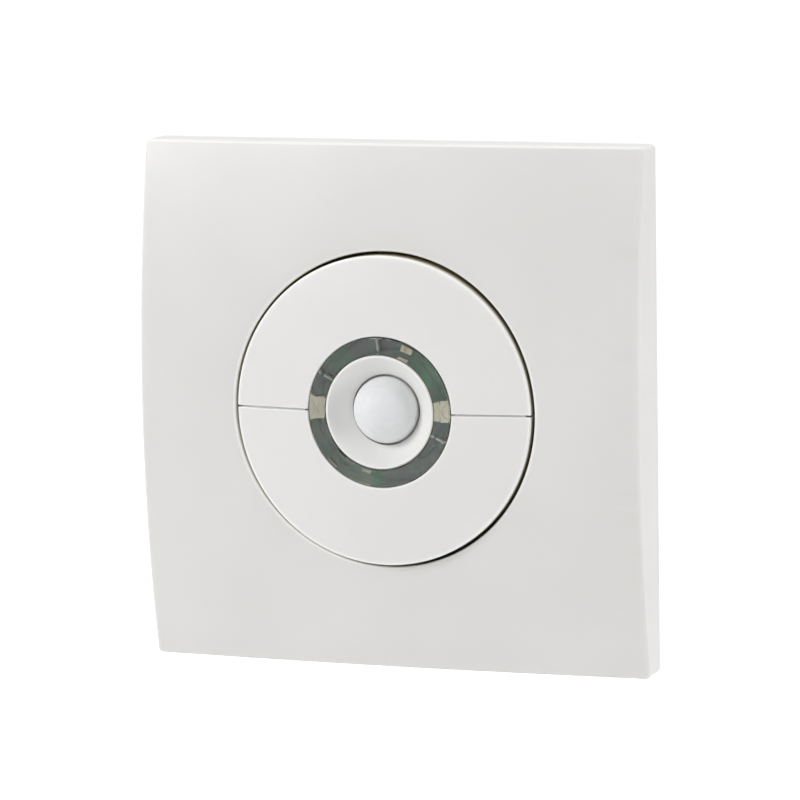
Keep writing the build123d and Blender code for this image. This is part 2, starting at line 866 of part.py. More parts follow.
def make_plunger(up):
    flange_front = board_front + switch_base_height - plunger_gap
    flange_back = flange_front - plunger_flange_height
    plunger = disc(plunger_radius, flange_back, plunger_front, 0, up)
    plunger = fillet(plunger.faces().sort_by(Axis.Z)[-1].edges(), plunger_gap)
    plunger += disc(plunger_flange_radius, flange_back, flange_front, 0, up)
    return plunger + disc(plunger_foot_radius, flange_back - plunger_foot_height, flange_back, 0, up)


def make_snap_dome(up):
    """Thin sprung disc that clicks under the plunger."""
    ball_radius = (snap_dome_radius**2 + snap_dome_rise**2) / (2 * snap_dome_rise)
    centre = switch_cavity_back + snap_dome_rise - ball_radius
    dome = Pos(0, 0, centre) * (Sphere(ball_radius) - Sphere(ball_radius - snap_dome_thickness))
    dome &= disc(snap_dome_radius, switch_cavity_back, switch_cavity_back + 2 * snap_dome_rise)
    return Pos(0, up, 0) * dome


# Front carrier
def make_front_carrier():
    carrier = slab(carrier_size, carrier_size, carrier_back, carrier_front, carrier_corner_radius)
    carrier += sleeve(drum_outer_radius, drum_outer_radius - drum_wall, carrier_back, drum_front)
    drum_inner_radius = drum_outer_radius - drum_wall
    ledge_front = drum_ledge_back + drum_ledge_height
    ledge = sleeve(drum_ledge_radius, drum_inner_radius, drum_ledge_back, ledge_front)
    carrier += ledge & slab(2 * hook_width, plate_size, drum_ledge_back, drum_front)
    for side in (-1, 1):
        across = side * (bearing_inner_face + bearing_thickness / 2)
        carrier += slab(bearing_thickness, 2 * bearing_half_length, carrier_back, bearing_front, 0, across)
        web_length = drum_outer_radius - bearing_inner_face - drum_wall / 2
        web_across = side * (bearing_inner_face + web_length / 2)
        carrier += slab(web_length, rib_thickness, carrier_back, drum_front, 0, web_across)
        pin_hole = Rot(Y=90) * Cylinder(hinge_pin_radius + hinge_pin_gap, 4 * bearing_thickness)
        for up in (-hinge_up, hinge_up):
            carrier -= Pos(across, up, hinge_depth) * pin_hole
    for across, up in four_corners(board_screw_across, board_screw_across):
        carrier += disc(board_boss_radius, carrier_back, board_back, across, up)
        carrier -= disc(pilot_hole_radius, carrier_front, board_back + overrun, across, up)
    for across, up in four_corners(carrier_screw_across, carrier_screw_across):
        carrier -= disc(carrier_screw_hole, carrier_back - overrun, carrier_front + overrun, across, up)
    for side in (-1, 1):
        boss_across = side * column_across
        carrier += disc(screw_boss_radius, carrier_back, screw_boss_front, boss_across, -boss_across)
        hole = housing_screw_shank + hinge_pin_gap
        carrier -= disc(hole, carrier_back - overrun, screw_boss_front + overrun, boss_across, -boss_across)
        pillar_back = power_board_front + seat_gap
        pillar_place = side * pillar_across
        carrier += slab(
            pillar_size, pillar_size, pillar_back, carrier_front, 0, pillar_place, pillar_place
        )
    link_width = link_pitch + 4 * slip_gap
    link_length = link_pin_count * link_pitch + 4 * slip_gap
    place = board_place(link_share)
    return carrier - slab(link_width, link_length, carrier_back - overrun, carrier_front + overrun, 0, *place)


# Rear housing
def terminal_places():
    first = -(terminal_count - 1) / 2
    return [(first + number) * terminal_pitch for number in range(terminal_count)]


def make_rear_housing():
    housing = slab(housing_size, housing_size, housing_back, carrier_back, housing_corner_radius)
    housing = chamfer(housing.faces().sort_by(Axis.Z)[0].edges(), housing_wall / 2)
    housing -= slab(housing_inside, housing_inside, housing_inner_back, carrier_back + overrun)
    for side in (-1, 1):
        across = side * column_across
        column = disc(column_radius, housing_back + housing_wall, carrier_back, across, -across)
        housing += column
        housing -= disc(column_access_radius, housing_back - overrun, column_seat, across, -across)
        shank_hole = housing_screw_shank + slip_gap
        housing -= disc(shank_hole, column_seat - overrun, carrier_back + overrun, across, -across)
        ledge_across = side * (housing_inside - ledge_reach) / 2
        housing += slab(ledge_reach, ledge_length, housing_inner_back, power_board_back, 0, ledge_across)
        housing -= disc(
            dial_radius + dial_hole_gap,
            housing_back - overrun,
            housing_inner_back + overrun,
            side * trimmer_across,
            trimmer_up,
        )
    ledge_up = (housing_inside - ledge_reach) / 2
    housing += slab(ledge_length, ledge_reach, housing_inner_back, power_board_back, 0, 0, ledge_up)
    wall_back = housing_back - overrun
    wall_front = housing_inner_back + overrun
    for across in terminal_places():
        housing -= disc(terminal_screw_access, wall_back, wall_front, across, terminal_block_up)
        wire = Rot(X=90) * Cylinder(wire_hole_radius, 2 * housing_wall)
        housing -= Pos(across, -housing_size / 2, wire_depth) * wire
        rib = slab(housing_guide_width, housing_wall, housing_inner_back, power_board_back)
        rib_up = terminal_block_up + (terminal_block_length + housing_wall) / 2 + slip_gap
        housing += Pos(across, rib_up, 0) * rib
    return housing


# Power board
def board_place(share):
    """Across and up of a place given as a share of the power board's size."""
    return share[0] * power_board_size, share[1] * power_board_size


def make_power_board():
    board = slab(power_board_size, power_board_size, power_board_back, power_board_front)
    corner = (power_board_size - power_board_notch) / 2
    for side in (-1, 1):
        board -= slab(
            power_board_notch,
            power_board_notch,
            power_board_back - overrun,
            power_board_front + overrun,
            0,
            side * corner,
            -side * corner,
        )
    pin_hole = link_pin_size * math.sqrt(0.5) + link_pin_gap
    holes = [(pin_hole, across, up) for across, up in link_pin_places()]
    holes += [(clamp_tail_radius + clamp_tail_gap, x, terminal_block_up) for x in terminal_places()]
    for radius, across, up in holes:
        board -= disc(radius, power_board_back - overrun, power_board_front + overrun, across, up)
    return board


def make_relay():
    front = power_board_front + relay_height
    relay = slab(relay_width, relay_length, power_board_front, front, 0, *board_place(relay_share))
    return fillet(relay.edges().filter_by(Axis.Z) + relay.faces().sort_by(Axis.Z)[-1].edges(), relay_edge)


def make_film_capacitor():
    front = power_board_front + film_height
    place = board_place(film_share)
    return slab(film_width, film_thickness, power_board_front, front, relay_edge, *place)


def make_can_capacitor(radius, height, share):
    """Electrolytic can with its rolled groove near the board."""
    can = disc(radius, power_board_front, power_board_front + height)
    groove = power_board_front + radius / 2
    can -= sleeve(radius + overrun, radius - storage_groove, groove, groove + 2 * storage_groove)
    can = chamfer(can.faces().sort_by(Axis.Z)[-1].edges(), storage_groove)
    return Pos(*board_place(share), 0) * can


def make_varistor():
    centre = power_board_front + varistor_radius + varistor_lift
    body = Rot(X=90) * Cylinder(varistor_radius, varistor_thickness)
    body = fillet(body.edges().filter_by(GeomType.CIRCLE), varistor_lift)
    legs = slab(varistor_radius, varistor_lift, power_board_front, centre)
    return Pos(*board_place(varistor_share), 0) * (Pos(0, 0, centre) * body + legs)


def make_fuse():
    centre = power_board_front + fuse_radius
    barrel = Rot(Y=90) * Cylinder(fuse_radius - seat_gap, fuse_length)
    for side in (-1, 1):
        cap_across = side * (fuse_length - fuse_cap_length) / 2
        barrel += Pos(cap_across, 0, 0) * Rot(Y=90) * Cylinder(fuse_radius, fuse_cap_length)
    return Pos(*board_place(fuse_share), centre) * barrel


def make_choke():
    """Bobbin with its winding as one plain drum between two flanges."""
    back = power_board_front
    bobbin = disc(choke_radius, back, back + choke_flange)
    bobbin += disc(choke_radius, back + choke_height - choke_flange, back + choke_height)
    bobbin += disc((choke_radius + choke_core_radius) / 2, back, back + choke_height)
    bobbin -= disc(choke_core_radius / 2, back + choke_height - choke_flange, back + 2 * choke_height)
    return Pos(*board_place(choke_share), 0) * bobbin


def make_rectifier():
    body = slab(rectifier_width, rectifier_length, power_board_front, power_board_front + rectifier_height)
    body = chamfer(body.faces().sort_by(Axis.Z)[-1].edges(), rectifier_height / 5)
    return Pos(*board_place(rectifier_share), 0) * body


# Link between the boards
def link_pin_places():
    across, up = board_place(link_share)
    first = -(link_pin_count - 1) / 2
    return [(across, up + (first + number) * link_pitch) for number in range(link_pin_count)]


def link_block(back, front):
    length = link_pin_count * link_pitch
    return slab(link_pitch, length, back, front, 0, *board_place(link_share))


def make_link_header():
    front = power_board_front + link_header_height
    header = link_block(power_board_front, front)
    hole = link_pin_size + link_pin_gap
    for across, up in link_pin_places():
        header -= slab(hole, hole, power_board_front - overrun, front + overrun, 0, across, up)
    return header


def make_link_pins():
    pins = []
    for across, up in link_pin_places():
        pin = slab(link_pin_size, link_pin_size, link_pin_back, link_pin_front, 0, across, up)
        ends = pin.faces().sort_by(Axis.Z)[0].edges() + pin.faces().sort_by(Axis.Z)[-1].edges()
        pins.append(chamfer(ends, link_pin_size / 5))
    return pins


def make_link_socket():
    back = board_back - link_socket_height
    socket = link_block(back, board_back)
    hole = link_pin_size + link_pin_gap
    for across, up in link_pin_places():
        socket -= slab(hole, hole, back - overrun, back + link_socket_hole, 0, across, up)
    return socket


# Wire terminals
def make_terminal_block():
    back = power_board_back - terminal_block_depth
    block = slab(
        terminal_block_width, terminal_block_length, back, power_board_back, 0, 0, terminal_block_up
    )
    chamber_back = clamp_back - clamp_gap
    chamber_front = clamp_back + clamp_depth + clamp_gap
    side = clamp_size + 2 * clamp_gap
    for across in terminal_places():
        block -= slab(side, side, chamber_back, chamber_front, 0, across, terminal_block_up)
        block -= disc(
            terminal_screw_head + slip_gap, back - overrun, chamber_back + overrun, across, terminal_block_up
        )
        block -= disc(
            clamp_tail_radius + clamp_tail_gap,
            chamber_front - overrun,
            power_board_back + overrun,
            across,
            terminal_block_up,
        )
        wire = Rot(X=90) * Cylinder(wire_bore_radius, terminal_block_length)
        block -= Pos(across, terminal_block_up - terminal_block_length / 2, wire_depth) * wire
    return block


def make_terminal_clamps():
    """Open brass frames: the wire passes through upwards, the screw comes in from behind."""
    clamps = []
    back = clamp_back
    front = back + clamp_depth
    for across in terminal_places():
        clamp = slab(clamp_size, clamp_size, back, front, 0, across, terminal_block_up)
        clamp -= slab(
            clamp_size - 2 * clamp_wall,
            clamp_size + overrun,
            back + clamp_wall,
            front - clamp_wall,
            0,
            across,
            terminal_block_up,
        )
        screw_hole = terminal_screw_shank + hinge_pin_gap
        clamp -= disc(screw_hole, back - overrun, back + 2 * clamp_wall, across, terminal_block_up)
        clamp += disc(clamp_tail_radius, front - clamp_wall / 2, clamp_tail_tip, across, terminal_block_up)
        clamps.append(clamp)
    return clamps


def make_terminal_screws():
    screws = []
    slot_front = terminal_screw_head_back + 2 * screw_slot_depth
    for across in terminal_places():
        screw = disc(terminal_screw_shank, terminal_screw_head_front, terminal_screw_tip)
        head = disc(terminal_screw_head, terminal_screw_head_back, terminal_screw_head_front)
        head = chamfer(head.faces().sort_by(Axis.Z)[0].edges(), screw_slot_depth / 2)
        slot_back = terminal_screw_head_back - overrun
        head -= slab(screw_slot_width, 3 * terminal_screw_head, slot_back, slot_front)
        screws.append(Pos(across, terminal_block_up, 0) * (screw + head))
    return screws


# Setting trimmers
def make_trimmer(across):
    back = power_board_back - trimmer_height
    body = slab(trimmer_size, trimmer_size, back, power_board_back, relay_edge, across, trimmer_up)
    bore = dial_pivot_radius + dial_pivot_gap
    return body - disc(bore, back - overrun, back + dial_pivot_depth + slip_gap, across, trimmer_up)


def make_dial(across):
    """Dial with its neck and pivot, cross slot and pointer groove towards the back of the wall box."""
    neck_front = power_board_back - trimmer_height - slip_gap
    pivot_front = power_board_back - trimmer_height + dial_pivot_depth
    knob = disc(dial_radius, dial_back, dial_front)
    knob = chamfer(knob.faces().sort_by(Axis.Z)[0].edges(), dial_slot_depth / 4)
    slot_front = dial_back + dial_slot_depth
    knob -= slab(dial_radius, dial_slot_width, dial_back - overrun, slot_front)
    knob -= slab(dial_slot_width, dial_radius, dial_back - overrun, slot_front)
    knob -= slab(
        dial_slot_width / 2,
        dial_radius,
        dial_back - overrun,
        dial_back + dial_slot_depth / 2,
        0,
        0,
        dial_radius / 2 + dial_slot_depth,
    )
    dial = knob + disc(dial_neck_radius, dial_front, neck_front)
    dial += disc(dial_pivot_radius, neck_front, pivot_front)
    return Pos(across, trimmer_up, 0) * dial


# Screws
def make_board_screws():
    screws = []
    for across, up in four_corners(board_screw_across, board_screw_across):
        screw = pan_screw(board_screw_shank, board_screw_head, board_front, board_screw_tip, across, up)
        screws.append(screw)
    return screws


def make_carrier_screws():
    screws = []
    for across, up in four_corners(carrier_screw_across, carrier_screw_across):
        screws.append(
            pan_screw(carrier_screw_shank, carrier_screw_head, carrier_front, carrier_screw_tip, across, up)
        )
    return screws


def make_housing_screws():
    """Screws that come in from behind, with their heads deep in the housing's columns."""
    screws = []
    for side in (-1, 1):
        screw = pan_screw(housing_screw_shank, housing_screw_head, -column_seat, -housing_screw_tip)
        across = side * column_across
        screws.append(Pos(across, -across, 0) * Rot(X=180) * screw)
    return screws


def main():
    os.makedirs("parts", exist_ok=True)
    upper_key = make_upper_key()
    pieces = {
        "support_frame": make_support_frame(),
        "cover_plate": make_cover_plate(),
        "upper_key": upper_key,
        "lower_key": mirror(upper_key, about=Plane.XZ),
        "light_ring": make_light_ring(),
        "lens_bezel": make_lens_bezel(),
        "fresnel_lens": make_fresnel_lens(),
        "sensor_holder": make_sensor_holder(),
        "pir_base": make_pir_base(),
        "pir_can": make_pir_can(),
        "pir_window": make_pir_window(),
        "pir_leads": Compound(make_pir_leads()),
        "sensor_board": make_sensor_board(),
        "ring_leds": Compound(make_ring_leds()),
        "board_parts": Compound(make_small_parts()),
        "daylight_sensor": make_daylight_sensor(),
        "controller_chip": make_controller_chip(),
        "front_carrier": make_front_carrier(),
        "board_screws": Compound(make_board_screws()),
        "carrier_screws": Compound(make_carrier_screws()),
        "housing_screws": Compound(make_housing_screws()),
        "rear_housing": make_rear_housing(),
        "power_board": make_power_board(),
        "relay": make_relay(),
        "film_capacitor": make_film_capacitor(),
        "storage_capacitor": make_can_capacitor(storage_radius, storage_height, storage_share),
        "filter_capacitor": make_can_capacitor(filter_radius, filter_height, filter_share),
        "varistor": make_varistor(),
        "fuse": make_fuse(),
        "choke": make_choke(),
        "rectifier": make_rectifier(),
        "link_header": make_link_header(),
        "link_pins": Compound(make_link_pins()),
        "link_socket": make_link_socket(),
        "terminal_block": make_terminal_block(),
        "terminal_clamps": Compound(make_terminal_clamps()),
        "terminal_screws": Compound(make_terminal_screws()),
    }
    for name, up in (("upper", switch_up), ("lower", -switch_up)):
        pieces[f"{name}_switch_base"] = make_switch_base(up)
        pieces[f"{name}_switch_cover"] = make_switch_cover(up)
        pieces[f"{name}_snap_dome"] = make_snap_dome(up)
        pieces[f"{name}_plunger"] = make_plunger(up)
    for name, across in (("time", -trimmer_across), ("daylight", trimmer_across)):
        pieces[f"{name}_trimmer"] = make_trimmer(across)
        pieces[f"{name}_dial"] = make_dial(across)
    for name, piece in pieces.items():
        write_piece(name, piece)


main()
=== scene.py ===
import math

import bmesh
import bpy
from mathutils import Matrix, Vector


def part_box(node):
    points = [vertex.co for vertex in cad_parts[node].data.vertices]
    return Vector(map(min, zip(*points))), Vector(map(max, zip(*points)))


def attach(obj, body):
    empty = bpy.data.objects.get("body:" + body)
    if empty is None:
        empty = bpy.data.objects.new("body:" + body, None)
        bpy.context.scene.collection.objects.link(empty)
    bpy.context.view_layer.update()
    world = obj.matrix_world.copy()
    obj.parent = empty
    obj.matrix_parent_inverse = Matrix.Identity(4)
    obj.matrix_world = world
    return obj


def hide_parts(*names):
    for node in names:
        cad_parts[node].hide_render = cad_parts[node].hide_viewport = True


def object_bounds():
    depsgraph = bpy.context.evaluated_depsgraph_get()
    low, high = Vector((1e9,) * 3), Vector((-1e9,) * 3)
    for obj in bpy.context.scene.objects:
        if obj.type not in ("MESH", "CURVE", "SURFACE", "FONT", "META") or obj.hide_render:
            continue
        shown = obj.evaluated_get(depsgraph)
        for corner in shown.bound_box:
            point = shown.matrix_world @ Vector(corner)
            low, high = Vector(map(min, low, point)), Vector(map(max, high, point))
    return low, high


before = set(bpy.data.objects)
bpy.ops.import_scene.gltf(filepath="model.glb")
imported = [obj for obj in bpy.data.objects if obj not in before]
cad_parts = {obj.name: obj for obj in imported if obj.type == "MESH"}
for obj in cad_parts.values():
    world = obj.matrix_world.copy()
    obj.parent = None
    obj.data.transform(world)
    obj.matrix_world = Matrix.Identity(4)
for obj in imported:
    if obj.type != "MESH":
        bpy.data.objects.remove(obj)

cad_low, cad_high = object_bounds()
MM = 0.001


# Support frame: a pressed steel plate that two screws pull against the wall box.
# It is blanked from zinc-plated sheet, so its skin is pale grey with a faint grain and cloudy spangle.
zinc_colour = (0.60, 0.61, 0.60, 1)
zinc_cloud = (0.47, 0.49, 0.50, 1)
spangle_mm = 1.8


def start_material(name):
    """A new node material, with its principled shader and the object's own coordinates."""
    material = bpy.data.materials.new(name)
    material.use_nodes = True
    tree = material.node_tree
    shader = tree.nodes["Principled BSDF"]
    place = tree.nodes.new("ShaderNodeTexCoord").outputs["Object"]
    return material, tree, shader, place


def noise(tree, place, grain_mm, detail=2.0, stretch=(1, 1, 1)):
    """Noise whose features are about this many millimetres across."""
    spread = tree.nodes.new("ShaderNodeMapping")
    spread.inputs["Scale"].default_value = [1 / (grain_mm * MM * s) for s in stretch]
    texture = tree.nodes.new("ShaderNodeTexNoise")
    texture.inputs["Scale"].default_value = 1.0
    texture.inputs["Detail"].default_value = detail
    tree.links.new(place, spread.inputs["Vector"])
    tree.links.new(spread.outputs["Vector"], texture.inputs["Vector"])
    return texture.outputs["Fac"]


def blend_colours(tree, factor, first, second, low=0.35, high=0.65):
    """A colour that runs from first to second as the factor goes from low to high."""
    ramp = tree.nodes.new("ShaderNodeValToRGB")
    ramp.color_ramp.elements[0].position = low
    ramp.color_ramp.elements[0].color = first
    ramp.color_ramp.elements[1].position = high
    ramp.color_ramp.elements[1].color = second
    tree.links.new(factor, ramp.inputs["Fac"])
    return ramp.outputs["Color"]


def remap(tree, factor, low, high, start=0.0, end=1.0):
    """The values from low to high, as the factor goes from start to end and no further."""
    spread = tree.nodes.new("ShaderNodeMapRange")
    spread.inputs["From Min"].default_value = start
    spread.inputs["From Max"].default_value = end
    spread.inputs["To Min"].default_value = low
    spread.inputs["To Max"].default_value = high
    tree.links.new(factor, spread.inputs["Value"])
    return spread.outputs["Result"]


def add_bump(tree, shader, height, depth_mm, strength):
    """Bump of this depth on the shader's normal."""
    bump = tree.nodes.new("ShaderNodeBump")
    bump.inputs["Strength"].default_value = strength
    bump.inputs["Distance"].default_value = depth_mm * MM
    tree.links.new(height, bump.inputs["Height"])
    tree.links.new(bump.outputs["Normal"], shader.inputs["Normal"])


def dress(material, *names):
    """Give CAD nodes this material."""
    for name in names:
        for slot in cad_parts[name].material_slots:
            slot.material = material


def plated_metal(name, colour, cloud, roughness, grain_mm=0.25, stretch=(1, 1, 1)):
    """Plated sheet or turned metal with a cloudy skin and fine grain."""
    material, tree, shader, place = start_material(name)
    shader.inputs["Metallic"].default_value = 1.0
    clouds = noise(tree, place, spangle_mm, detail=4.0)
    tree.links.new(blend_colours(tree, clouds, cloud, colour), shader.inputs["Base Color"])
    grain = noise(tree, place, grain_mm, detail=3.0, stretch=stretch)
    rough = remap(tree, grain, roughness - 0.06, roughness + 0.08)
    tree.links.new(rough, shader.inputs["Roughness"])
    add_bump(tree, shader, grain, 0.01, 0.35)
    return material


dress(plated_metal("zinc_sheet", zinc_colour, zinc_cloud, 0.36), "support_frame")


# Screws: small slotted steel screws with the same zinc plating, turned and so a little brighter.
# Four hold the carrier to the frame, four the sensor board, two the housing, and three close the
# terminals.
turned_grain = (4, 1, 4)
screw_colour = (0.66, 0.66, 0.64, 1)
screw_cloud = (0.52, 0.53, 0.53, 1)
screw_steel = plated_metal("screw_zinc", screw_colour, screw_cloud, 0.28, 0.2, turned_grain)
dress(screw_steel, "carrier_screws", "board_screws", "housing_screws", "terminal_screws")


# Rear housing: a moulded box that sits in the wall box behind the plate.
# It is off-white flame-retardant plastic with a spark-eroded matt skin.
# Plain scale ticks are printed round each dial hole.
housing_colour = (0.62, 0.62, 0.59, 1)
housing_shade = (0.56, 0.56, 0.535, 1)
tick_colour = (0.10, 0.10, 0.10, 1)
tick_inner = 4.1 * MM
tick_outer = 5.3 * MM
tick_step = math.radians(27)
tick_half_width = math.radians(2.2)
tick_end = math.radians(137)
drift_mm = 22.0
handling_mm = 6.0


def moulded_plastic(name, colour, shade, roughness, grain_mm=0.35, grain_depth=0.012):
    """Moulded plastic: slow colour drift, uneven gloss and the fine skin of the mould."""
    material, tree, shader, place = start_material(name)
    drift = noise(tree, place, drift_mm, detail=1.0)
    tree.links.new(blend_colours(tree, drift, shade, colour), shader.inputs["Base Color"])
    handling = noise(tree, place, handling_mm, detail=3.0)
    rough = remap(tree, handling, roughness - 0.04, roughness + 0.05)
    tree.links.new(rough, shader.inputs["Roughness"])
    grain = noise(tree, place, grain_mm, detail=2.0)
    add_bump(tree, shader, grain, grain_depth, 0.5)
    shader.inputs["IOR"].default_value = 1.5
    return material


def math_node(tree, operation, first, second=None):
    """One arithmetic step on sockets or plain numbers."""
    node = tree.nodes.new("ShaderNodeMath")
    node.operation = operation
    for number, value in enumerate((first, second)):
        if value is None:
            continue
        if isinstance(value, (int, float)):
            node.inputs[number].default_value = value
        else:
            tree.links.new(value, node.inputs[number])
    return node.outputs[0]


def coordinates(tree):
    """The object's own coordinates, as one socket each for X, Y and Z."""
    parts = tree.nodes.new("ShaderNodeSeparateXYZ")
    tree.links.new(tree.nodes["Texture Coordinate"].outputs["Object"], parts.inputs["Vector"])
    return parts.outputs


def hypotenuse(tree, across, up):
    """Distance from the two distances across and up."""
    squares = [math_node(tree, "MULTIPLY", side, side) for side in (across, up)]
    return math_node(tree, "SQRT", math_node(tree, "ADD", *squares))


def between(tree, value, low, high):
    """One where the value lies between two numbers, zero elsewhere."""
    above = math_node(tree, "GREATER_THAN", value, low)
    below = math_node(tree, "LESS_THAN", value, high)
    return math_node(tree, "MULTIPLY", above, below)


def paint_over(tree, shader, mask, colour):
    """Lay a second colour over the shader's base colour where the mask is one."""
    below = shader.inputs["Base Color"].links[0].from_socket
    mix = tree.nodes.new("ShaderNodeMix")
    mix.data_type = "RGBA"
    factor, first, second = mix.inputs[0], mix.inputs[6], mix.inputs[7]
    second.default_value = colour
    tree.links.new(mask, factor)
    tree.links.new(below, first)
    tree.links.new(mix.outputs[2], shader.inputs["Base Color"])


def add_dial_ticks(material, node):
    """Print a ring of ticks round one dial, leaving the bottom quarter bare."""
    low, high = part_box(node)
    tree = material.node_tree
    shader = tree.nodes["Principled BSDF"]
    place = coordinates(tree)
    across = math_node(tree, "SUBTRACT", place["X"], (low.x + high.x) / 2)
    up = math_node(tree, "SUBTRACT", place["Z"], (low.z + high.z) / 2)
    radius = hypotenuse(tree, across, up)
    angle = math_node(tree, "ARCTAN2", across, up)
    turn = math_node(tree, "PINGPONG", angle, tick_step / 2)
    in_ring = between(tree, radius, tick_inner, tick_outer)
    mask = math_node(tree, "MULTIPLY", in_ring, math_node(tree, "LESS_THAN", turn, tick_half_width))
    spread = math_node(tree, "LESS_THAN", math_node(tree, "ABSOLUTE", angle), tick_end)
    mask = math_node(tree, "MULTIPLY", mask, spread)
    outside = math_node(tree, "GREATER_THAN", place["Y"], high.y - MM)
    paint_over(tree, shader, math_node(tree, "MULTIPLY", mask, outside), tick_colour)


housing_plastic = moulded_plastic("housing_plastic", housing_colour, housing_shade, 0.55, 0.3, 0.03)
for dial in ("time_dial", "daylight_dial"):
    add_dial_ticks(housing_plastic, dial)
dress(housing_plastic, "rear_housing")


# Setting dials and the trimmers they turn: natural nylon knobs in small blue moulded bodies.
# A screwdriver turns them through the back of the housing before the switch goes into its box.
dial_nylon = moulded_plastic("dial_nylon", (0.74, 0.72, 0.64, 1), (0.68, 0.66, 0.58, 1), 0.42, 0.2)
dress(dial_nylon, "time_dial", "daylight_dial")
trimmer_blue = moulded_plastic("trimmer_blue", (0.05, 0.16, 0.42, 1), (0.04, 0.13, 0.36, 1), 0.40)
dress(trimmer_blue, "time_trimmer", "daylight_trimmer")


# Wire terminals: brass clamp frames in a moulded block, each closed on its wire by a screw.
# The brass is stamped and bent, with faint tarnish; the block is natural polyamide.
polyamide = moulded_plastic("terminal_polyamide", (0.66, 0.64, 0.57, 1), (0.60, 0.58, 0.52, 1), 0.50)
dress(polyamide, "terminal_block")
stamped_brass = plated_metal("stamped_brass", (0.74, 0.55, 0.24, 1), (0.58, 0.42, 0.20, 1), 0.30)
dress(stamped_brass, "terminal_clamps")


# Circuit boards: glass-fibre board with green solder resist, greyer where copper lies under it.
# The sensor board shows through the clear ring. Its large areas are sectors, given in degrees: the
# greyer sectors are copper under the resist together with painted shade, and the paler sectors are bare
# board together with a painted highlight.
resist_dark = (0.004, 0.062, 0.024, 1)
resist_light = (0.012, 0.105, 0.045, 1)
copper_and_shade_colour = (0.042, 0.058, 0.056, 1)
bare_and_highlight_colour = (0.085, 0.130, 0.095, 1)
track_colour = (0.040, 0.150, 0.075, 1)
copper_area = 6.5 * MM
track_pitch = 2.4 * MM
copper_and_shade_sectors = ((79, 124), (147, 172), (-94, -14))
bare_and_highlight_sectors = ((-166, -148), (-142, -104))
sector_blur = math.radians(3)
track_band = (0.34, 0.44)
resist_cloud_mm = 5.0
weave_mm = 0.4


def square_cells(tree, place, size):
    """Cells with square sides, of about this size."""
    cells = tree.nodes.new("ShaderNodeTexVoronoi")
    cells.feature = "F1"
    cells.distance = "CHEBYCHEV"
    cells.inputs["Scale"].default_value = 1 / size
    cells.inputs["Randomness"].default_value = 0.7
    tree.links.new(place, cells.inputs["Vector"])
    return cells.outputs


def in_sector(tree, angle, start, end):
    """One inside a sector given in degrees and zero outside it, with a narrow soft edge."""
    middle = math.radians((start + end) / 2)
    half = math.radians((end - start) / 2)
    away = math_node(tree, "ABSOLUTE", math_node(tree, "SUBTRACT", angle, middle))
    return remap(tree, away, 1.0, 0.0, half - sector_blur, half + sector_blur)


def circuit_board(name, round_board=False):
    """Green resist over tracks and large areas: sectors on a round board, painted darker and paler
    partly as shade and highlight, else square cells.
    """
    material, tree, shader, place = start_material(name)
    cloud = noise(tree, place, resist_cloud_mm, detail=2.0)
    tree.links.new(blend_colours(tree, cloud, resist_dark, resist_light), shader.inputs["Base Color"])
    if round_board:
        along = coordinates(tree)
        angle = math_node(tree, "ARCTAN2", along["Z"], along["X"])
        for sectors, colour in ((copper_and_shade_sectors, copper_and_shade_colour), (bare_and_highlight_sectors, bare_and_highlight_colour)):
            for start, end in sectors:
                paint_over(tree, shader, in_sector(tree, angle, start, end), colour)
    else:
        parts = tree.nodes.new("ShaderNodeSeparateColor")
        tree.links.new(square_cells(tree, place, copper_area)["Color"], parts.inputs["Color"])
        half_of_cells = math_node(tree, "GREATER_THAN", parts.outputs["Red"], 0.5)
        paint_over(tree, shader, math_node(tree, "MULTIPLY", half_of_cells, 0.8), copper_and_shade_colour)
    tracks = between(tree, square_cells(tree, place, track_pitch)["Distance"], *track_band)
    paint_over(tree, shader, math_node(tree, "MULTIPLY", tracks, 0.6), track_colour)
    weave = noise(tree, place, weave_mm, detail=1.0)
    add_bump(tree, shader, weave, 0.02, 0.4)
    shader.inputs["Roughness"].default_value = 0.45
    shader.inputs["Specular IOR Level"].default_value = 0.25
    return material


dress(circuit_board("sensor_board_resist", round_board=True), "sensor_board")
dress(circuit_board("power_board_resist"), "power_board")


# Power parts on the rear board: relay, capacitors, varistor, fuse, choke and rectifier.
# Each has the usual finish of its kind: moulded cases, a dipped disc, a sleeved can and dark ferrite.
relay_case = moulded_plastic("relay_case", (0.045, 0.15, 0.40, 1), (0.04, 0.13, 0.35, 1), 0.34)
dress(relay_case, "relay")
film_case = moulded_plastic("film_case", (0.72, 0.48, 0.06, 1), (0.66, 0.43, 0.05, 1), 0.42)
dress(film_case, "film_capacitor")
can_sleeve = moulded_plastic("can_sleeve", (0.02, 0.025, 0.05, 1), (0.015, 0.02, 0.04, 1), 0.3)
dress(can_sleeve, "storage_capacitor", "filter_capacitor")
dipped_colour = (0.02, 0.12, 0.28, 1)
dipped_shade = (0.02, 0.10, 0.24, 1)
dress(moulded_plastic("dipped_blue", dipped_colour, dipped_shade, 0.28, 0.8, 0.05), "varistor")
fuse_glass = moulded_plastic("fuse_glass", (0.62, 0.64, 0.62, 1), (0.56, 0.58, 0.56, 1), 0.15)
dress(fuse_glass, "fuse")
ferrite_colour = (0.035, 0.034, 0.036, 1)
ferrite_shade = (0.028, 0.027, 0.03, 1)
dress(moulded_plastic("fired_ferrite", ferrite_colour, ferrite_shade, 0.6, 0.15, 0.03), "choke")
epoxy_colour = (0.018, 0.018, 0.02, 1)
epoxy_shade = (0.014, 0.014, 0.016, 1)
chip_epoxy = moulded_plastic("chip_epoxy", epoxy_colour, epoxy_shade, 0.55, 0.15, 0.02)
dress(chip_epoxy, "rectifier", "controller_chip")


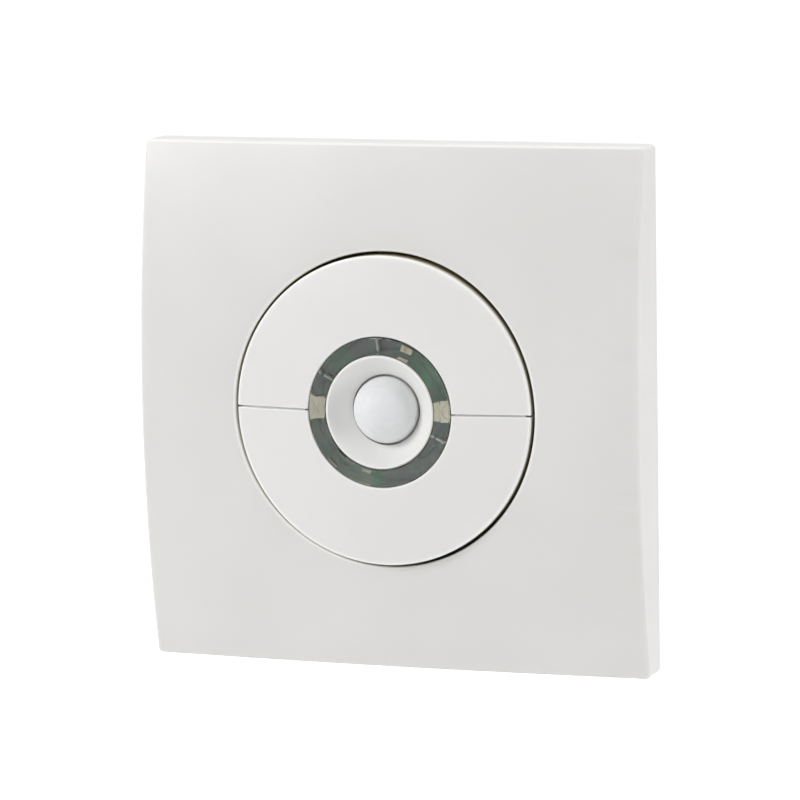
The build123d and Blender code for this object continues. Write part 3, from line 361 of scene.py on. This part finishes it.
# Link between the boards: a row of tinned pins through a black header, into a black socket.
# The header is soldered to the power board and the socket hangs under the sensor board.
black_nylon = moulded_plastic("black_nylon", (0.02, 0.02, 0.021, 1), (0.016, 0.016, 0.017, 1), 0.48)
dress(black_nylon, "link_header", "link_socket")
tinned = plated_metal("tinned_pins", (0.72, 0.71, 0.68, 1), (0.60, 0.60, 0.58, 1), 0.25)
dress(tinned, "link_pins", "pir_leads")


# Front carrier: the dark grey moulding behind the plate that carries the board and the keys' hinges.
# Its drum stands inside the ring of keys, so that the gap round them looks into the dark.
carrier_colour = (0.085, 0.078, 0.066, 1)
carrier_shade = (0.07, 0.064, 0.055, 1)
dress(moulded_plastic("carrier_plastic", carrier_colour, carrier_shade, 0.5, 0.3, 0.02), "front_carrier")


# Push switches: black bases, sprung steel covers and domes, black plungers.
# They are machine-soldered to the sensor board, one under each key.
dress(black_nylon, "upper_switch_base", "lower_switch_base", "upper_plunger", "lower_plunger")
spring_colour = (0.68, 0.67, 0.64, 1)
spring_cloud = (0.56, 0.55, 0.53, 1)
spring_steel = plated_metal("spring_steel", spring_colour, spring_cloud, 0.24, 0.15, turned_grain)
dress(spring_steel, "upper_switch_cover", "lower_switch_cover", "upper_snap_dome", "lower_snap_dome")


# Parts that show through the clear ring: two lamps, the daylight sensor and small soldered parts.
# The lamps are cream moulded cups with a pale gel in the well; the small parts have tinned ends.
dress(moulded_plastic("lamp_cup", (0.97, 0.92, 0.76, 1), (0.93, 0.88, 0.72, 1), 0.45), "ring_leds")
sensor_body = moulded_plastic("sensor_body", (0.80, 0.74, 0.56, 1), (0.74, 0.68, 0.50, 1), 0.4)
dress(sensor_body, "daylight_sensor")
sintered_body = moulded_plastic("sintered_body", (0.40, 0.36, 0.28, 1), (0.32, 0.28, 0.22, 1), 0.45)
dress(sintered_body, "board_parts")

gel_rise = 0.12 * MM
gel_lift = 0.02 * MM
led_low, led_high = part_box("ring_leds")
lamp_half = 1.4 * MM
gel_radius = 1.15 * MM
gel_across = (led_high.x - led_low.x) / 2 - lamp_half
smooth_below = math.radians(35)


def start_piece(name):
    """An empty mesh object, linked into the scene, and a bmesh to shape it with."""
    mesh = bpy.data.meshes.new(name)
    piece = bpy.data.objects.new(name, mesh)
    bpy.context.scene.collection.objects.link(piece)
    return piece, bmesh.new()


def add_block(shape, size, middle, turn=0.0):
    """A block of this size about its middle, then turned this far round the middle of the switch."""
    block = bmesh.ops.create_cube(shape, size=1.0)["verts"]
    bmesh.ops.scale(shape, vec=size, verts=block)
    bmesh.ops.translate(shape, vec=middle, verts=block)
    bmesh.ops.rotate(shape, cent=(0, 0, 0), matrix=Matrix.Rotation(-turn, 3, "Y"), verts=block)
    return block


def end_piece(piece, shape, material, body):
    """Close the bmesh into its object, finish it and let it ride on its body."""
    bmesh.ops.recalc_face_normals(shape, faces=shape.faces)
    shape.to_mesh(piece.data)
    shape.free()
    piece.data.materials.append(material)
    piece.data.polygons.foreach_set("use_smooth", [True] * len(piece.data.polygons))
    piece.data.set_sharp_from_angle(angle=smooth_below)
    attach(piece, body)


gels, shape = start_piece("lamp_gels")
for side in (-1, 1):
    disc = bmesh.ops.create_uvsphere(shape, u_segments=32, v_segments=16, radius=gel_radius)["verts"]
    bmesh.ops.scale(shape, vec=(1, gel_rise / gel_radius, 1), verts=disc)
    bmesh.ops.translate(shape, vec=(side * gel_across, led_low.y + gel_rise + gel_lift, 0), verts=disc)
gel_material = moulded_plastic("lamp_gel", (0.97, 0.91, 0.72, 1), (0.94, 0.88, 0.69, 1), 0.3, 0.5, 0.004)
end_piece(gels, shape, gel_material, "mechanism")

part_length = 1.6 * MM
part_width = 0.8 * MM
part_height = 0.45 * MM
end_length = 0.34 * MM
end_growth = 0.03 * MM
end_round = 0.04 * MM


def islands(node):
    """The middle of each loose block of a CAD node, and the turn of its long side."""
    source = bmesh.new()
    source.from_mesh(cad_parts[node].data)
    bmesh.ops.remove_doubles(source, verts=source.verts, dist=0.001 * MM)
    seen = set()
    found = []
    for seed in source.verts:
        if seed in seen:
            continue
        seen.add(seed)
        island = [seed]
        for vert in island:
            near = [edge.other_vert(vert) for edge in vert.link_edges]
            island.extend(other for other in near if other not in seen)
            seen.update(near)
        middle = sum((vert.co for vert in island), Vector()) / len(island)
        spread = [vert.co - middle for vert in island]
        tilt = 2 * sum(v.x * v.z for v in spread)
        turn = 0.5 * math.atan2(tilt, sum(v.x * v.x - v.z * v.z for v in spread))
        found.append((middle, turn))
    source.free()
    return found


ends, shape = start_piece("part_ends")
end_size = (end_length, part_height + end_growth, part_width + end_growth)
for middle, turn in islands("board_parts"):
    for side in (-1, 1):
        shift = side * (part_length - end_length + end_growth) / 2
        block = add_block(shape, end_size, (shift, -end_growth / 2, 0), turn)
        bmesh.ops.translate(shape, vec=middle, verts=block)
bmesh.ops.bevel(shape, geom=shape.edges[:], offset=end_round, segments=1, affect="EDGES")
soldered = plated_metal("soldered_tin", (0.40, 0.42, 0.38, 1), (0.33, 0.35, 0.32, 1), 0.55)
end_piece(ends, shape, soldered, "mechanism")


# Motion sensor: a drawn nickel-plated can with a dark infrared filter behind its window.
# It stands in a ring of natural plastic that also carries the dome's flange.
nickel_colour = (0.66, 0.65, 0.61, 1)
nickel_cloud = (0.58, 0.57, 0.54, 1)
can_metal = plated_metal("drawn_nickel", nickel_colour, nickel_cloud, 0.22, 0.2, turned_grain)
dress(can_metal, "pir_can", "pir_base")
filter_colour = (0.02, 0.014, 0.016, 1)
filter_shade = (0.016, 0.011, 0.013, 1)
dress(moulded_plastic("infrared_filter", filter_colour, filter_shade, 0.12), "pir_window")
holder_plastic = moulded_plastic("holder_plastic", (0.74, 0.73, 0.69, 1), (0.70, 0.69, 0.65, 1), 0.5)
dress(holder_plastic, "sensor_holder")


# Clear ring: polished clear plastic between the bezel and the keys, in front of the two lamps.
# It reaches down to the board round the lamps, as a light guide does, on three frosted feet.
# Shadow rays pass straight through it, so that the board behind it is lit as in life.
ring_tint = (0.84, 0.87, 0.84, 1)
ring_low, ring_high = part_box("light_ring")
board_low, board_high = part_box("sensor_board")
ring_wall = 2.7 * MM
ring_outer = (ring_high.x - ring_low.x) / 2
ring_inner = ring_outer - ring_wall
ring_middle = ring_outer - ring_wall / 2
ring_edge = 0.2 * MM
ring_front = -ring_low.y
board_clearance = 0.05 * MM
lamp_clearance = 0.15 * MM
ring_back = -board_low.y + board_clearance
ring_underside = -led_low.y + lamp_clearance
foot_angles = (-27, 97, 153.5)
foot_thickness = 0.32 * MM
foot_length = 0.86 * ring_wall
foot_round = 0.06 * MM


def clear_plastic(name, tint, roughness):
    """Clear plastic with faint flow lines and waves, which lets shadow rays through."""
    material, tree, shader, place = start_material(name)
    flow = noise(tree, place, 3.0, detail=2.0)
    paler = tuple(0.5 + c / 2 for c in tint[:3]) + (1,)
    tree.links.new(blend_colours(tree, flow, tint, paler), shader.inputs["Base Color"])
    shader.inputs["Transmission Weight"].default_value = 1.0
    shader.inputs["Roughness"].default_value = roughness
    shader.inputs["IOR"].default_value = 1.49
    shader.inputs["Specular IOR Level"].default_value = 0.3
    waves = noise(tree, place, 2.0, detail=1.0)
    add_bump(tree, shader, waves, 0.02, 0.3)
    through = tree.nodes.new("ShaderNodeBsdfTransparent")
    through.inputs["Color"].default_value = tint
    path = tree.nodes.new("ShaderNodeLightPath")
    mix = tree.nodes.new("ShaderNodeMixShader")
    output = tree.nodes["Material Output"]
    tree.links.new(path.outputs["Is Shadow Ray"], mix.inputs["Fac"])
    tree.links.new(shader.outputs["BSDF"], mix.inputs[1])
    tree.links.new(through.outputs["BSDF"], mix.inputs[2])
    tree.links.new(mix.outputs["Shader"], output.inputs["Surface"])
    return material


def turn_profile(shape, profile, steps=160):
    """Turn a closed outline of radius and depth points round the middle of the switch."""
    points = [shape.verts.new((radius, -depth, 0)) for radius, depth in profile]
    edges = [shape.edges.new(pair) for pair in zip(points, points[1:] + points[:1])]
    turned = {"axis": (0, 1, 0), "cent": (0, 0, 0), "steps": steps, "angle": 2 * math.pi}
    bmesh.ops.spin(shape, geom=points + edges, use_merge=True, **turned)
    bmesh.ops.remove_doubles(shape, verts=shape.verts, dist=0.0001 * MM)


guide, shape = start_piece("ring_light_guide")
guide_outline = [
    (ring_inner, ring_back),
    (ring_inner, ring_front - ring_edge),
    (ring_inner + ring_edge, ring_front),
    (ring_outer - ring_edge, ring_front),
    (ring_outer, ring_front - ring_edge),
    (ring_outer, ring_back),
]
turn_profile(shape, guide_outline)
end_piece(guide, shape, clear_plastic("clear_ring", ring_tint, 0.09), "mechanism")
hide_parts("light_ring")

feet, shape = start_piece("ring_feet")
foot_depth = ring_underside - ring_back
foot_middle = (ring_middle, -(ring_back + ring_underside) / 2, 0)
for angle in foot_angles:
    add_block(shape, (foot_length, foot_depth, foot_thickness), foot_middle, math.radians(angle))
bmesh.ops.bevel(shape, geom=shape.edges[:], offset=foot_round, segments=2, affect="EDGES")
frosted = moulded_plastic("frosted_feet", (0.66, 0.72, 0.66, 1), (0.56, 0.62, 0.57, 1), 0.6)
end_piece(feet, shape, frosted, "mechanism")


# Bezel: the white funnel round the dome, in a slightly lighter white than the keys.
# Its cone throws light back on the dome and hides the sensor's holder.
bezel_colour = (0.85, 0.845, 0.825, 1)
bezel_shade = (0.83, 0.825, 0.805, 1)
# Painted highlight: a lighter white painted on rounded moulded edges, where they catch the light.
painted_edge_highlight = (0.95, 0.945, 0.925, 1)
# Painted shade: an olive shadow painted on the walls of gaps. The hole shade width, gap line, fade,
# proud share and lit range below set where it is painted.
painted_gap_shade = (0.24, 0.205, 0.125, 1)
bezel_hole = 5.75 * MM
bezel_edge = 0.35 * MM
hole_shade_width = 0.07 * MM
gap_line = 0.17 * MM
gap_fade = 1.0 * MM
proud_share = 0.4
lit_range = (0.35, 0.85)


def paint_edge_highlights(material, radii, width, split=False):
    """Paint a highlight into the colour of moulded edges: near these radii from the middle, and beside
    the keys' split.
    """
    tree = material.node_tree
    place = coordinates(tree)
    radius = hypotenuse(tree, place["X"], place["Z"])
    gaps = [math_node(tree, "ABSOLUTE", math_node(tree, "SUBTRACT", radius, edge)) for edge in radii]
    if split:
        gaps.append(math_node(tree, "ABSOLUTE", place["Z"]))
    nearest = gaps[0]
    for gap in gaps[1:]:
        nearest = math_node(tree, "MINIMUM", nearest, gap)
    near = remap(tree, nearest, 1.0, 0.0, end=width)
    paint_over(tree, tree.nodes["Principled BSDF"], near, painted_edge_highlight)
    return radius


def paint_gap_shade(material, radius, low, high, lit_way=None, colour=painted_gap_shade, proud_from=None):
    """Paint an olive shadow into the colour of a gap's walls, between two radii.

    It fades on the side of the middle that lies in the direction lit_way, and pales in front of
    the plane where y is proud_from.
    """
    tree = material.node_tree
    mask = between(tree, radius, low, high)
    if proud_from:
        depth = coordinates(tree)["Y"]
        deep = remap(tree, depth, proud_share, 1.0, proud_from, proud_from + gap_fade)
        mask = math_node(tree, "MULTIPLY", mask, deep)
    if lit_way:
        way = tree.nodes.new("ShaderNodeVectorMath")
        way.operation = "NORMALIZE"
        tree.links.new(tree.nodes["Texture Coordinate"].outputs["Object"], way.inputs[0])
        along = tree.nodes.new("ShaderNodeVectorMath")
        along.operation = "DOT_PRODUCT"
        along.inputs[1].default_value = lit_way
        tree.links.new(way.outputs["Vector"], along.inputs[0])
        shade = remap(tree, along.outputs["Value"], 1.0, 0.0, *lit_range)
        mask = math_node(tree, "MULTIPLY", mask, shade)
    paint_over(tree, tree.nodes["Principled BSDF"], mask, colour)


bezel_white = moulded_plastic("bezel_white", bezel_colour, bezel_shade, 0.30, 0.5, 0.006)
# Painted highlight on the bezel's outer rounded edge, beside the clear ring.
bezel_radius = paint_edge_highlights(bezel_white, [ring_inner - bezel_edge], bezel_edge)
# Painted shade: a thin dark band round the dome's hole and a thin dark line beside the clear ring, where
# the gaps lie in shade.
paint_gap_shade(bezel_white, bezel_radius, 0, bezel_hole + hole_shade_width)
paint_gap_shade(bezel_white, bezel_radius, ring_inner - gap_line, ring_inner)
dress(bezel_white, "lens_bezel")


# Dome lens: thin milky polyethylene, smooth outside, with flat lens fields that show faintly.
# It scatters light, so it is a little translucent and slightly cooler in colour than the white parts.
dome_colour = (0.925, 0.945, 0.985, 1)
dome_shade = (0.895, 0.915, 0.955, 1)
field_size = 2.0 * MM


def milky_lens(name):
    """Milky plastic with pale cells for the lens fields."""
    material, tree, shader, place = start_material(name)
    cells = tree.nodes.new("ShaderNodeTexVoronoi")
    cells.feature = "DISTANCE_TO_EDGE"
    cells.inputs["Scale"].default_value = 1 / field_size
    cells.inputs["Randomness"].default_value = 0.45
    tree.links.new(place, cells.inputs["Vector"])
    fields = cells.outputs["Distance"]
    milk = blend_colours(tree, fields, dome_shade, dome_colour, 0.0, 0.3)
    tree.links.new(milk, shader.inputs["Base Color"])
    add_bump(tree, shader, fields, 0.02, 0.2)
    shader.inputs["Roughness"].default_value = 0.5
    shader.inputs["IOR"].default_value = 1.5
    shader.inputs["Specular IOR Level"].default_value = 0.35
    shader.inputs["Subsurface Weight"].default_value = 0.8
    shader.inputs["Subsurface Radius"].default_value = (1.0, 1.0, 1.0)
    shader.inputs["Subsurface Scale"].default_value = 1.5 * MM
    return material


dress(milky_lens("milky_lens"), "fresnel_lens")


# Push keys: two half rings of white plastic that rock on pins and press the switches.
# They are moulded and then left semi-gloss, with the same fine skin as the plate.
# A thin tongue on the lower key stands in the split, so that no light comes through it.
key_colour = (0.830, 0.822, 0.812, 1)
key_shade = (0.810, 0.802, 0.792, 1)
key_low, key_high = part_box("upper_key")
key_outer = (key_high.x - key_low.x) / 2
# Painted shade for the keys' outer walls in the gap: an olive-tan, lighter than the plate's gap, where
# those walls are lit.
key_wall_painted_shade = (0.40, 0.345, 0.22, 1)
key_inner_edge = ring_outer + 0.25 * MM
key_outer_edge = key_outer - 0.2 * MM
edge_width = 0.4 * MM
skin = 0.02 * MM
wall_reach = 0.3 * MM
plate_edge_y = -10.9 * MM
light_reach_mm = 0.9


def let_light_in(material, reach_mm):
    """Let white plastic scatter light this far under its skin, so that thin edges glow a little."""
    shader = material.node_tree.nodes["Principled BSDF"]
    shader.inputs["Subsurface Weight"].default_value = 0.6
    shader.inputs["Subsurface Radius"].default_value = (1.0, 0.95, 0.85)
    shader.inputs["Subsurface Scale"].default_value = reach_mm * MM


key_white = moulded_plastic("key_white", key_colour, key_shade, 0.32, 0.45, 0.008)
let_light_in(key_white, light_reach_mm)
# Painted highlights on the keys' inner and outer rounded edges and beside their split.
key_radius = paint_edge_highlights(key_white, [key_inner_edge, key_outer_edge], edge_width, split=True)
# Painted shade: olive-tan on the keys' outer walls in the gap to the plate, paler where they stand proud
# of the plate, and a thin dark line beside the clear ring.
outer_wall = {"low": key_outer - skin, "high": key_outer + wall_reach}
paint_gap_shade(key_white, key_radius, **outer_wall, colour=key_wall_painted_shade, proud_from=plate_edge_y)
paint_gap_shade(key_white, key_radius, ring_outer, ring_outer + gap_line)
dress(key_white, "upper_key", "lower_key")

split_half = 0.15 * MM
tongue_root = 0.05 * MM
tongue_high = 0.05 * MM
tongue_sink = 0.4 * MM
tongue_depth = 1.1 * MM
tongue_start = ring_outer + 0.9 * MM
tongue_end = key_outer - 1.0 * MM
tongue_cuts = 11
key_sphere = 145.0 * MM
key_inner = ring_outer + 0.3 * MM


def key_fall(radius):
    """How far the keys' front lies behind their foremost edge at this distance from the middle."""
    return math.sqrt(key_sphere ** 2 - key_inner ** 2) - math.sqrt(key_sphere ** 2 - radius ** 2)


tongue, shape = start_piece("key_tongue")
tongue_length = tongue_end - tongue_start
tongue_height = tongue_high + split_half + tongue_root
tongue_size = (tongue_length, tongue_depth, tongue_height)
for side in (-1, 1):
    across = side * (tongue_start + tongue_length / 2)
    depth = key_low.y + tongue_sink + tongue_depth / 2
    add_block(shape, tongue_size, (across, depth, tongue_high - tongue_height / 2))
long_edges = [edge for edge in shape.edges if abs(edge.verts[0].co.x - edge.verts[1].co.x) > MM]
bmesh.ops.subdivide_edges(shape, edges=long_edges, cuts=tongue_cuts, use_grid_fill=True)
for vert in shape.verts:
    vert.co.y += key_fall(abs(vert.co.x))
end_piece(tongue, shape, key_white, "lower_key")


# Cover plate: a thin crowned shell of white plastic that claws hold to the frame.
# It is semi-gloss, with a slight warm drift in the white and the faintest mould skin.
plate_colour = (0.785, 0.778, 0.766, 1)
plate_shade = (0.765, 0.757, 0.743, 1)
opening_edge = key_outer + 0.5 * MM
opening_round = opening_edge + 0.2 * MM
top_edge_width = 0.45 * MM
to_lower_left = (-0.8, 0, -0.6)


def lighten_top(material, top, width):
    """Paint the moulded edge along the top of the plate lighter, where it catches the light."""
    tree = material.node_tree
    strip = between(tree, coordinates(tree)["Z"], top - width, top - skin)
    paint_over(tree, tree.nodes["Principled BSDF"], math_node(tree, "MULTIPLY", strip, 0.5), painted_edge_highlight)


plate_white = moulded_plastic("plate_white", plate_colour, plate_shade, 0.30, 0.5, 0.008)
let_light_in(plate_white, light_reach_mm)
# Painted highlights on the rounded edge of the opening and along the top edge.
plate_radius = paint_edge_highlights(plate_white, [opening_round], edge_width)
lighten_top(plate_white, cad_high.z, top_edge_width)
# Painted shade: olive on the opening's wall in the gap round the keys, fading towards the lower left,
# where the light falls on it.
paint_gap_shade(plate_white, plate_radius, key_outer, opening_edge + skin, to_lower_left)
dress(plate_white, "cover_plate")


# Studio: a wide pale floor well below the switch, and a white surround seen by the camera.
# Soft lamps stand to the upper left, to the right and above, as in a product photograph.
floor_drop = 0.12
floor_size = 14.0
floor_colour = (0.86, 0.86, 0.86, 1)
floor_lift = 0.62
ambient_strength = 0.40

floor, shape = start_piece("floor")
bmesh.ops.create_grid(shape, x_segments=1, y_segments=1, size=floor_size / 2)
bmesh.ops.translate(shape, vec=(0, 0, cad_low.z - floor_drop), verts=shape.verts)
shape.to_mesh(floor.data)
shape.free()


def seen_directly(tree):
    """One for the camera's rays, also past a mirror or through a clear part, and zero for others."""
    rays = tree.nodes.new("ShaderNodeLightPath").outputs
    direct = math_node(tree, "MAXIMUM", rays["Is Camera Ray"], rays["Is Glossy Ray"])
    return math_node(tree, "MAXIMUM", direct, rays["Is Transmission Ray"])


def pale_floor(name):
    """Plain matt floor that the camera sees a little lifted, so that it is white around its shadow."""
    material, tree, shader, place = start_material(name)
    shader.inputs["Base Color"].default_value = floor_colour
    shader.inputs["Roughness"].default_value = 0.9
    lift = tree.nodes.new("ShaderNodeEmission")
    strength = math_node(tree, "MULTIPLY", seen_directly(tree), floor_lift)
    tree.links.new(strength, lift.inputs["Strength"])
    both = tree.nodes.new("ShaderNodeAddShader")
    tree.links.new(shader.outputs["BSDF"], both.inputs[0])
    tree.links.new(lift.outputs["Emission"], both.inputs[1])
    tree.links.new(both.outputs["Shader"], tree.nodes["Material Output"].inputs["Surface"])
    return material


floor.data.materials.append(pale_floor("pale_floor"))

surround = bpy.data.worlds.new("surround")
surround.use_nodes = True
bpy.context.scene.world = surround
sky_tree = surround.node_tree
sky = sky_tree.nodes["Background"]
sky.inputs["Color"].default_value = (1, 1, 1, 1)
sky_strength = remap(sky_tree, seen_directly(sky_tree), ambient_strength, 1.0)
sky_tree.links.new(sky_strength, sky.inputs["Strength"])

object_centre = Vector((0, 0, 0))


def add_lamp(name, place, size, watts):
    """Square white soft lamp aimed at the middle of the switch."""
    lamp = bpy.data.lights.new(name, "AREA")
    lamp.shape = "SQUARE"
    lamp.size = size
    lamp.energy = watts
    holder = bpy.data.objects.new(name, lamp)
    holder.location = place
    holder.rotation_euler = (object_centre - Vector(place)).to_track_quat("-Z", "Y").to_euler()
    bpy.context.scene.collection.objects.link(holder)


add_lamp("key_lamp", (-0.86, -0.98, 0.66), 0.55, 10.2)
add_lamp("right_lamp", (1.2, -0.05, 0.1), 0.5, 4.8)
add_lamp("top_lamp", (-0.1, 0.15, 1.1), 0.6, 3.9)


# Camera: at the photograph's angle, right of the switch and a little above it, with a long lens.
# Its place follows from where the middle of the wall plane lies in the photograph.
photo_size = 800
view_yaw = math.radians(20.60)
view_pitch = math.radians(8.22)
view_roll = math.radians(-0.97)
view_distance = 0.8088
focal_pixels = 4937.0
origin_pixel_x = 407.2
origin_pixel_y = 401.3

back = Vector((math.sin(view_yaw), -math.cos(view_yaw), 0)) * math.cos(view_pitch)
back.z = math.sin(view_pitch)
level_right = Vector((math.cos(view_yaw), math.sin(view_yaw), 0))
level_up = level_right.cross(-back)
right = level_right * math.cos(view_roll) + level_up * math.sin(view_roll)
up = level_up * math.cos(view_roll) - level_right * math.sin(view_roll)
side_shift = (origin_pixel_x - photo_size / 2) / focal_pixels * view_distance
down_shift = (origin_pixel_y - photo_size / 2) / focal_pixels * view_distance

camera_data = bpy.data.cameras.new("camera")
camera_data.sensor_width = 36.0
camera_data.lens = focal_pixels / photo_size * camera_data.sensor_width
camera_data.clip_start = 0.01
camera_data.clip_end = 30.0
camera = bpy.data.objects.new("camera", camera_data)
camera_place = back * view_distance - right * side_shift + up * down_shift
camera_turn = Matrix((right, up, back)).transposed().to_4x4()
camera.matrix_world = Matrix.Translation(camera_place) @ camera_turn
bpy.context.scene.collection.objects.link(camera)
bpy.context.scene.camera = camera
bpy.context.scene.view_settings.view_transform = "Standard"
